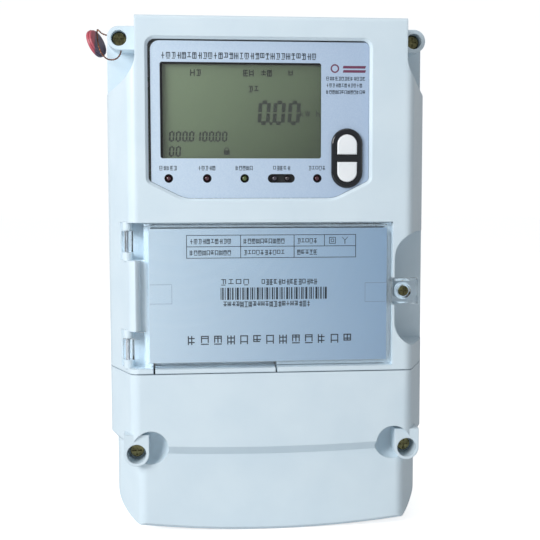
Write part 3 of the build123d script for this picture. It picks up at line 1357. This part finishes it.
# ================================================================ main board and what it carries
def make_main_board():
    """Main circuit board on the four base posts."""
    half = HALF - MAIN_BOARD_INSET
    low = SEAM + MAIN_BOARD_BOTTOM_GAP
    high = TOP - MAIN_BOARD_TOP_GAP
    board = block(-half, half, low, high, MAIN_BOARD_DEPTH, COMPONENT_BASE)
    board = fillet(board.edges().filter_by(Axis.Y), BOARD_CORNER)
    for index in range(4):
        x, z = board_post(index)
        board = board - stud(x, z, BOARD_SCREW_SHANK + LEAD_GAP, 0, DEPTH)
    for index in LEAD_TERMINALS:
        board = board - stud(terminal_x(index), LEAD_TOP, LEAD_RADIUS + LEAD_GAP, 0, DEPTH)
    return board


def make_board_screws():
    """Four screws that hold the main board."""
    seat = COMPONENT_BASE
    screws = []
    for index in range(4):
        x, z = board_post(index)
        screws.append(screw(x, z, BOARD_SCREW_SHANK, BOARD_SCREW_HEAD, seat, BOARD_SCREW_HEAD_HEIGHT,
                            seat - BOARD_SCREW_LENGTH))
    return screws


def upper_row():
    """Height of the row of tall parts on the upper main board."""
    return WINDOW_TOP - UPPER_ROW_DROP


def make_board_link():
    """Plug-and-socket strip between the main board and the display board."""
    z = WINDOW_BOTTOM + SOCKET_RISE
    return block(-SOCKET_LENGTH / 2, SOCKET_LENGTH / 2, z - SOCKET_WIDTH / 2, z + SOCKET_WIDTH / 2,
                 COMPONENT_BASE, DISPLAY_BOARD_DEPTH)


def transformer_centre():
    """Centre of the mains transformer."""
    return WINDOW_LEFT + TRANSFORMER_SIDE_GAP, upper_row() - TRANSFORMER_DROP


def make_transformer_core():
    """Laminated core of the mains transformer."""
    x, z = transformer_centre()
    low = COMPONENT_BASE + (BOBBIN_DEPTH - TRANSFORMER_STACK) / 2
    window = TRANSFORMER_HEIGHT / 2 - TRANSFORMER_YOKE
    core = block(x - TRANSFORMER_WIDTH / 2, x + TRANSFORMER_WIDTH / 2, z - TRANSFORMER_HEIGHT / 2,
                 z + TRANSFORMER_HEIGHT / 2, low, low + TRANSFORMER_STACK)
    for side in (-1, 1):
        edges = sorted((x + side * TRANSFORMER_LIMB, x + side * TRANSFORMER_WINDOW))
        core = core - block(edges[0], edges[1], z - window, z + window, low - PAST,
                            low + TRANSFORMER_STACK + PAST)
    return core


def make_transformer_bobbin():
    """Wound bobbin round the middle limb of the transformer core."""
    x, z = transformer_centre()
    half_x = TRANSFORMER_WINDOW - BOBBIN_GAP
    half_z = TRANSFORMER_HEIGHT / 2 - TRANSFORMER_YOKE - BOBBIN_GAP
    top = COMPONENT_BASE + BOBBIN_DEPTH
    coil = block(x - half_x, x + half_x, z - half_z, z + half_z, COMPONENT_BASE, top)
    coil = fillet(coil.edges().filter_by(Axis.Z), BOBBIN_CORNER)
    limb = TRANSFORMER_LIMB + FIT
    low = COMPONENT_BASE + (BOBBIN_DEPTH - TRANSFORMER_STACK) / 2
    return coil - block(x - limb, x + limb, z - half_z - PAST, z + half_z + PAST, low - FIT,
                        low + TRANSFORMER_STACK + FIT)


def make_capacitors():
    """Three electrolytic capacitors of the supply."""
    top = COMPONENT_BASE + CAPACITOR_HEIGHT
    cans = []
    for index in range(CAPACITOR_COUNT):
        can = stud(index * CAPACITOR_PITCH, upper_row(), CAPACITOR_RADIUS, COMPONENT_BASE, top)
        cans.append(fillet(edges_at_depth(can, top), CAPACITOR_EDGE))
    return cans


def make_varistors():
    """Three disc surge arresters standing on the main board."""
    row = WINDOW_BOTTOM + LOWER_ROW_RISE
    half = VARISTOR_LEG_HALF
    discs = []
    for index in range(VARISTOR_COUNT):
        x = (index - 1) * VARISTOR_PITCH + BUTTON_X - VARISTOR_SHIFT
        centre = Pos(x, -(COMPONENT_BASE + VARISTOR_RADIUS + VARISTOR_RISE), row)
        disc = centre * Rot(0, 90, 0) * Cylinder(VARISTOR_RADIUS, VARISTOR_THICKNESS)
        disc = fillet(disc.edges().filter_by(GeomType.CIRCLE), VARISTOR_EDGE)
        for side in (-1, 1):
            z = row + side * VARISTOR_LEG_SPREAD
            disc = disc + block(x - half, x + half, z - half, z + half, COMPONENT_BASE,
                                COMPONENT_BASE + VARISTOR_LEG_LENGTH)
        discs.append(disc)
    return discs


def make_control_relay():
    """Sealed relay that gives the disconnect signal."""
    x = WINDOW_RIGHT - RELAY_SHIFT
    z = upper_row()
    width, height, depth = RELAY_SIZE
    body = block(x - width / 2, x + width / 2, z - height / 2, z + height / 2, COMPONENT_BASE,
                 COMPONENT_BASE + depth)
    return fillet(body.edges().filter_by(Axis.Y), RELAY_CORNER)


def make_buzzer():
    """Alarm buzzer with its sound port."""
    top = COMPONENT_BASE + BUZZER_HEIGHT
    x = WINDOW_LEFT + BUZZER_SHIFT
    z = WINDOW_BOTTOM + LOWER_ROW_RISE
    body = stud(x, z, BUZZER_RADIUS, COMPONENT_BASE, top)
    return body - stud(x, z, BUZZER_PORT, top - BUZZER_PORT_DEPTH, top + PAST)


def make_chips():
    """Processor, metering and memory chips on the main board."""
    row = WINDOW_BOTTOM + LOWER_ROW_RISE
    chips = []
    for x, width, height in CHIPS:
        chips.append(block(x - width / 2, x + width / 2, row - height / 2, row + height / 2, COMPONENT_BASE,
                           COMPONENT_BASE + CHIP_HEIGHT))
    return chips


# ================================================================ terminals
def terminal_low():
    """Lower end of the brass terminals."""
    return TERMINAL_TOP - TERMINAL_LENGTH


def make_terminal_block():
    """Black terminal block: terminal pockets, screw shafts and conductor passages."""
    body = block(-BLOCK_HALF, BLOCK_HALF, BLOCK_BOTTOM, BLOCK_TOP, WALL, BLOCK_FRONT)
    body = fillet(edges_at_depth(body, BLOCK_FRONT), BLOCK_EDGE)
    cuts = []
    half = TERMINAL_WIDTH / 2 + TERMINAL_FIT
    for index in range(TERMINAL_COUNT):
        x = terminal_x(index)
        cuts.append(block(x - half, x + half, BLOCK_BOTTOM - PAST, TERMINAL_TOP, TERMINAL_BACK - TERMINAL_FIT,
                          TERMINAL_FRONT + TERMINAL_FIT))
        for drop in TERMINAL_SCREW_DROPS:
            cuts.append(stud(x, TERMINAL_TOP - drop, TERMINAL_SCREW_ACCESS, TERMINAL_FRONT - PAST,
                             BLOCK_FRONT + PAST))
        passage = LEAD_RADIUS + LEAD_GAP if index in LEAD_TERMINALS else CONDUCTOR_RADIUS + CONDUCTOR_GAP
        cuts.append(rod(x, TERMINAL_DEPTH, passage, TERMINAL_TOP - PAST, BLOCK_TOP + PAST))
    for side in (-1, 1):
        x = block_screw_x(side)
        cuts.append(stud(x, BLOCK_SCREW_Z, BLOCK_SCREW_SHANK + BLOCK_SCREW_GAP, 0, BLOCK_FRONT + PAST))
        cuts.append(stud(x, BLOCK_SCREW_Z, BLOCK_SCREW_HEAD + BORE_CLEAR, BLOCK_FRONT - BLOCK_SCREW_SINK,
                         BLOCK_FRONT + PAST))
        cuts.append(stud(x, BLOCK_SCREW_Z, BLOCK_BOSS_RADIUS + BLOCK_BOSS_GAP, 0,
                         BLOCK_BOSS_DEPTH + BORE_CLEAR))
    for cut in cuts:
        body = body - cut
    return body


def make_main_terminals():
    """Ten brass terminals, bored from below for the cable."""
    terminals = []
    half = TERMINAL_WIDTH / 2
    low = terminal_low()
    for index in range(TERMINAL_COUNT):
        x = terminal_x(index)
        body = block(x - half, x + half, low, TERMINAL_TOP, TERMINAL_BACK, TERMINAL_FRONT)
        body = body - rod(x, TERMINAL_DEPTH, TERMINAL_BORE, low - PAST, low + TERMINAL_BORE_LENGTH)
        for drop in TERMINAL_SCREW_DROPS:
            body = body - stud(x, TERMINAL_TOP - drop, TERMINAL_SCREW_SHANK + PIN_FIT, TERMINAL_DEPTH,
                               TERMINAL_FRONT + PAST)
        terminals.append(body)
    return terminals


def make_main_terminal_screws():
    """Two clamping screws for each main terminal, backed off clear of the bore."""
    tip = TERMINAL_DEPTH + TERMINAL_BORE + BORE_CLEAR
    screws = []
    for index in range(TERMINAL_COUNT):
        for drop in TERMINAL_SCREW_DROPS:
            screws.append(screw(terminal_x(index), TERMINAL_TOP - drop, TERMINAL_SCREW_SHANK,
                                TERMINAL_SCREW_HEAD, TERMINAL_FRONT + TERMINAL_SCREW_STAND_OFF,
                                TERMINAL_SCREW_HEAD_HEIGHT, tip))
    return screws


def make_block_screws():
    """Two screws that fix the terminal block to the base."""
    seat = BLOCK_FRONT - BLOCK_SCREW_SINK
    return [screw(block_screw_x(side), BLOCK_SCREW_Z, BLOCK_SCREW_SHANK, BLOCK_SCREW_HEAD, seat,
                  BLOCK_SCREW_HEAD_HEIGHT, BLOCK_SCREW_TIP) for side in (-1, 1)]


def make_current_loops():
    """Copper loops, one a phase, from the current-in terminal through its ring and back."""
    loops = []
    for index in LOOP_TERMINALS:
        left = terminal_x(index)
        right = terminal_x(index + 2)
        loop = rod(left, TERMINAL_DEPTH, CONDUCTOR_RADIUS, TERMINAL_TOP, CONDUCTOR_TOP)
        loop = loop + rod(right, TERMINAL_DEPTH, CONDUCTOR_RADIUS, TERMINAL_TOP, CONDUCTOR_TOP)
        middle = Pos((left + right) / 2, -TERMINAL_DEPTH, CONDUCTOR_TOP)
        loop = loop + middle * Rot(0, 90, 0) * Cylinder(CONDUCTOR_RADIUS, right - left)
        for x in (left, right):
            loop = loop + Pos(x, -TERMINAL_DEPTH, CONDUCTOR_TOP) * Sphere(CONDUCTOR_RADIUS)
        loops.append(loop)
    return loops


def make_current_rings():
    """Current-transformer rings, one round the leading leg of each loop."""
    rings = []
    for index in LOOP_TERMINALS:
        x = terminal_x(index)
        ring = rod(x, TERMINAL_DEPTH, RING_OUTER, RING_Z, RING_Z + RING_HEIGHT)
        ring = fillet(ring.edges().filter_by(GeomType.CIRCLE), RING_EDGE)
        hole = CONDUCTOR_RADIUS + RING_GAP
        rings.append(ring - rod(x, TERMINAL_DEPTH, hole, RING_Z - PAST, RING_Z + RING_HEIGHT + PAST))
    return rings


def make_voltage_leads():
    """Voltage and neutral leads from their terminals up to the main board."""
    leads = []
    for index in LEAD_TERMINALS:
        x = terminal_x(index)
        lead = rod(x, TERMINAL_DEPTH, LEAD_RADIUS, TERMINAL_TOP, LEAD_TOP)
        lead = lead + Pos(x, -TERMINAL_DEPTH, LEAD_TOP) * Sphere(LEAD_RADIUS)
        end = COMPONENT_BASE + LEAD_SOLDER_RISE
        leads.append(lead + stud(x, LEAD_TOP, LEAD_RADIUS, TERMINAL_DEPTH, end))
    return leads


def make_aux_block():
    """Small terminal strip for pulse, alarm and data wires."""
    body = block(-AUX_HALF, AUX_HALF, AUX_LOW, AUX_TOP, BLOCK_FRONT, BLOCK_FRONT + AUX_DEPTH)
    body = fillet(edges_at_depth(body, BLOCK_FRONT + AUX_DEPTH), AUX_EDGE)
    half = AUX_INSERT_WIDTH / 2 + TERMINAL_FIT
    low = AUX_LOW + AUX_INSERT_SINK
    back = AUX_INSERT_BACK
    for index in range(AUX_COUNT):
        x = aux_x(index)
        body = body - block(x - half, x + half, AUX_LOW - PAST, low + AUX_INSERT_LENGTH + TERMINAL_FIT,
                            back - TERMINAL_FIT, back + AUX_INSERT_DEPTH + TERMINAL_FIT)
        body = body - stud(x, low + AUX_SCREW_RISE, AUX_SCREW_ACCESS, back + AUX_SHAFT_BACK,
                           BLOCK_FRONT + AUX_DEPTH + PAST)
    return body


def make_aux_terminals():
    """Brass inserts of the auxiliary strip."""
    low = AUX_LOW + AUX_INSERT_SINK
    back = AUX_INSERT_BACK
    bore = back + AUX_BORE_DEPTH
    half = AUX_INSERT_WIDTH / 2
    inserts = []
    for index in range(AUX_COUNT):
        x = aux_x(index)
        body = block(x - half, x + half, low, low + AUX_INSERT_LENGTH, back, back + AUX_INSERT_DEPTH)
        body = body - rod(x, bore, AUX_BORE, low - PAST, low + AUX_INSERT_LENGTH - AUX_BORE_BLIND)
        body = body - stud(x, low + AUX_SCREW_RISE, AUX_SCREW_SHANK + PIN_FIT, bore,
                           back + AUX_INSERT_DEPTH + PAST)
        inserts.append(body)
    return inserts


def make_aux_screws():
    """Clamping screws of the auxiliary strip."""
    height = AUX_LOW + AUX_INSERT_SINK + AUX_SCREW_RISE
    tip = AUX_INSERT_BACK + AUX_BORE_DEPTH + AUX_BORE + AUX_SCREW_TIP_GAP
    seat = AUX_INSERT_BACK + AUX_INSERT_DEPTH + AUX_SCREW_STAND_OFF
    return [screw(aux_x(index), height, AUX_SCREW_SHANK, AUX_SCREW_HEAD, seat,
                  AUX_SCREW_HEAD_HEIGHT, tip) for index in range(AUX_COUNT)]


# ================================================================ terminal cover
def step_region():
    """Front view of everything above the arched lower edge of the cover's upper band."""
    low = STEP_Z - STEP_CHAMFER
    side = HALF + STEP_ARC_SPARE
    rise = STEP_ARC_RADIUS - (STEP_ARC_RADIUS ** 2 - side ** 2) ** 0.5
    return make_face([
        ThreePointArc((-side, low + rise), (0, low), (side, low + rise)),
        Polyline((side, low + rise), (side, SEAM - SEAM_GAP), (-side, SEAM - SEAM_GAP), (-side, low + rise)),
    ])


def make_terminal_cover():
    """Cover over the terminals: flush upper band, chamfered step, bowed lower part, two lugs."""
    front = DEPTH - STEP_CHAMFER
    band = prism(case_plan(HALF, DEPTH), BOTTOM, SEAM - SEAM_GAP) & slab(step_region(), 0, DEPTH + PAST)
    underside = band.faces().sort_by(Axis.Z)[0]
    band = chamfer(underside.edges().filter_by(lambda e: e.center().Y < -BASE_DEPTH - PAST), STEP_CHAMFER)
    lower_plan = case_plan(LOWER_HALF, front)
    lower = prism(lower_plan, BOTTOM, SEAM - SEAM_GAP - LOWER_PART_DROP) & slab(case_front_view(), 0, DEPTH)
    bevelled = extrude(front_plane(front - FOOT_BEVEL) * case_front_view(), amount=FOOT_BEVEL, taper=45)
    lower = lower & (slab(case_front_view(), 0, front - FOOT_BEVEL) + bevelled)
    cover = band + lower
    hollow = prism(case_plan(HALF, DEPTH, WALL), STEP_Z + COVER_HOLLOW_RISE, TOP)
    low_hollow = prism(case_plan(LOWER_HALF, front, WALL), BOTTOM, STEP_Z + COVER_HOLLOW_LAP)
    low_hollow = low_hollow & slab(case_front_view(WALL), BASE_DEPTH - PAST, DEPTH)
    inside = hollow + low_hollow
    for side in (-1, 1):
        x, z = low_lug(side)
        inside = inside - scoop_ball(side, SCOOP_WALL)
        inside = inside - stud(x, z, LOW_LUG_RADIUS, LOW_LUG_FACE - LOW_LUG_LENGTH, DEPTH)
    cover = cover - inside
    for side in (-1, 1):
        x, z = low_lug(side)
        cover = cover - scoop_ball(side, 0.0)
        tongue = Pos(x, z) * Circle(LOW_LUG_RADIUS)
        tongue = tongue + Pos(x, z + LOW_LUG_ROOT / 2) * Rectangle(2 * LOW_LUG_RADIUS, LOW_LUG_ROOT)
        cover = cover + slab(tongue, LOW_LUG_FACE - LOW_LUG_LENGTH, LOW_LUG_FACE)
        seat = LOW_LUG_FACE - LOW_LUG_SINK
        cover = cover - stud(x, z, LOW_LUG_BORE, seat, DEPTH + PAST)
        cover = cover - stud(x, z, SEAL_SCREW_SHANK + FIT, 0, DEPTH)
    return cover


def scoop_ball(side, grow):
    """Round scoop beside a lower lug."""
    x, z = low_lug(side)
    centre = Pos(x - side * (LOW_LUG_RADIUS + SCOOP_SIDE_SHIFT), -(DEPTH - STEP_CHAMFER + SCOOP_FORWARD),
                 z + SCOOP_RISE)
    return centre * Sphere(SCOOP_BALL_RADIUS + grow)


def make_terminal_cover_screws():
    """The two captive seal screws of the terminal cover."""
    seat = LOW_LUG_FACE - LOW_LUG_SINK
    tip = WALL + LOW_POST_BLIND + 2 * PAST
    return [screw(*low_lug(side), SEAL_SCREW_SHANK, SEAL_HEAD_RADIUS, seat, SEAL_HEAD_HEIGHT, tip)
            for side in (-1, 1)]


def make_main_cover_screws():
    """The two upper seal screws that hold the main cover."""
    seat = TOP_LUG_FACE - SEAL_HEAD_HEIGHT - TOP_LUG_SINK
    tip = WALL + TOP_POST_BLIND + 2 * PAST
    return [screw(*top_lug(side), SEAL_SCREW_SHANK, SEAL_HEAD_RADIUS, seat, SEAL_HEAD_HEIGHT, tip)
            for side in (-1, 1)]


def make_wiring_label():
    """Connection-diagram label on the inside of the terminal cover."""
    inner = DEPTH - STEP_CHAMFER - WALL
    z = BOTTOM + BOTTOM_BOW + WALL + WIRING_LABEL_HEIGHT / 2 + WIRING_LABEL_RISE
    sheet = Pos(0, z) * rounded(WIRING_LABEL_WIDTH, WIRING_LABEL_HEIGHT, WIRING_LABEL_CORNER)
    return slab(sheet, inner - WIRING_LABEL_THICKNESS, inner)


# ================================================================ wire seal
def seal_frame():
    """Plane of the seal disc's seen face."""
    return Plane(origin=SEAL_DISC_CENTRE, z_dir=SEAL_DISC_NORMAL)


def route_radii(points):
    """Bend radius at each inner point of a wire route."""
    radii = []
    for before, here, after in zip(points, points[1:], points[2:]):
        run_in = Vector(*here) - Vector(*before)
        run_out = Vector(*after) - Vector(*here)
        half_turn = radians(run_in.get_angle(run_out)) / 2
        radii.append(SEAL_BEND_SHARE * min(run_in.length, run_out.length) / tan(half_turn))
    return radii


def make_seal_wire():
    """Copper wire loop through the left lug and the seal disc."""
    radii = route_radii(SEAL_WIRE_ROUTE)
    print("seal wire bend radii", [round(radius, 2) for radius in radii])
    path = FilletPolyline(*SEAL_WIRE_ROUTE, radius=radii)
    print("seal wire length", round(path.length, 2))
    section = Plane(origin=path @ 0, z_dir=path % 0) * Circle(SEAL_WIRE_DIAMETER / 2)
    wire = sweep(section, path=path)
    print("seal wire volume ratio", round(wire.volume / (path.length * section.area), 4))
    return wire


def make_seal_body():
    """Outer half of the plastic seal disc."""
    middle = seal_frame() * Pos(0, 0, -SEAL_CAP_THICKNESS - SEAL_BODY_THICKNESS / 2)
    disc = middle * Cylinder(SEAL_DISC_RADIUS, SEAL_BODY_THICKNESS)
    return fillet(disc.edges().filter_by(GeomType.CIRCLE).sort_by(Axis.X)[:1], SEAL_BODY_EDGE)


def make_seal_cap():
    """Seen half of the plastic seal disc."""
    middle = seal_frame() * Pos(0, 0, -SEAL_CAP_THICKNESS / 2)
    disc = middle * Cylinder(SEAL_DISC_RADIUS - SEAL_CAP_INSET, SEAL_CAP_THICKNESS)
    return fillet(disc.edges().filter_by(GeomType.CIRCLE).sort_by(Axis.X)[-1:], SEAL_CAP_EDGE)


# ================================================================ write the pieces
PIECES = {
    "base_shell": make_base_shell,
    "cover_gasket": make_gasket,
    "hanging_plate": make_hanging_plate,
    "hanging_plate_rivets": make_hanger_rivets,
    "main_cover": make_main_cover,
    "main_cover_screws": make_main_cover_screws,
    "display_pane": make_display_pane,
    "faceplate": make_faceplate,
    "lcd_glass": make_lcd_glass,
    "lcd_bezel": make_lcd_bezel,
    "lcd_backlight": make_backlight,
    "lcd_pins": make_lcd_pins,
    "display_board": make_display_board,
    "pulse_lamps": lambda: make_lamps(("active_pulse", "reactive_pulse", "alarm")),
    "relay_lamp": lambda: make_lamps(("relay_state",)),
    "infrared_emitter": lambda: infrared_part(-1),
    "infrared_receiver": lambda: infrared_part(1),
    "lamp_sleeves": make_lamp_sleeves,
    "button_frame": make_button_frame,
    "upper_button": lambda: make_button(1),
    "lower_button": lambda: make_button(-1),
    "display_switches": make_display_switches,
    "door": make_door,
    "rating_plate": make_rating_plate,
    "door_screw": make_door_screw,
    "door_screw_insert": make_door_insert,
    "door_hinge_pins": make_hinge_pins,
    "communication_module": make_communication_module,
    "module_board": make_module_board,
    "module_socket": make_module_socket,
    "clock_battery": make_clock_battery,
    "battery_holder": make_battery_holder,
    "battery_contacts": make_battery_contacts,
    "program_button": make_program_button,
    "program_switch": make_program_switch,
    "main_board": make_main_board,
    "board_screws": make_board_screws,
    "board_link": make_board_link,
    "transformer_core": make_transformer_core,
    "transformer_bobbin": make_transformer_bobbin,
    "supply_capacitors": make_capacitors,
    "surge_arresters": make_varistors,
    "control_relay": make_control_relay,
    "alarm_buzzer": make_buzzer,
    "board_chips": make_chips,
    "terminal_block": make_terminal_block,
    "main_terminals": make_main_terminals,
    "main_terminal_screws": make_main_terminal_screws,
    "terminal_block_screws": make_block_screws,
    "current_loops": make_current_loops,
    "current_transformer_rings": make_current_rings,
    "voltage_leads": make_voltage_leads,
    "auxiliary_block": make_aux_block,
    "auxiliary_terminals": make_aux_terminals,
    "auxiliary_screws": make_aux_screws,
    "terminal_cover": make_terminal_cover,
    "terminal_cover_screws": make_terminal_cover_screws,
    "wiring_label": make_wiring_label,
    "seal_wire": make_seal_wire,
    "seal_disc": lambda: [make_seal_body(), make_seal_cap()],
}


def infrared_part(side):
    """Infrared emitter (-1) or receiver (+1) behind the stadium opening."""
    return lamp(INFRARED_X + side * INFRARED_SPACING / 2, LED_RADIUS, INFRARED_TIP)


def main():
    """Build every piece and write one file for each."""
    os.makedirs("parts", exist_ok=True)
    for name, make in PIECES.items():
        shape = make()
        if isinstance(shape, list):
            shape = Compound(children=[Part(piece.wrapped) if len(piece.solids()) > 1 else piece.solids()[0]
                                       for piece in shape])
        export_step(shape, f"parts/{name}.step")


main()
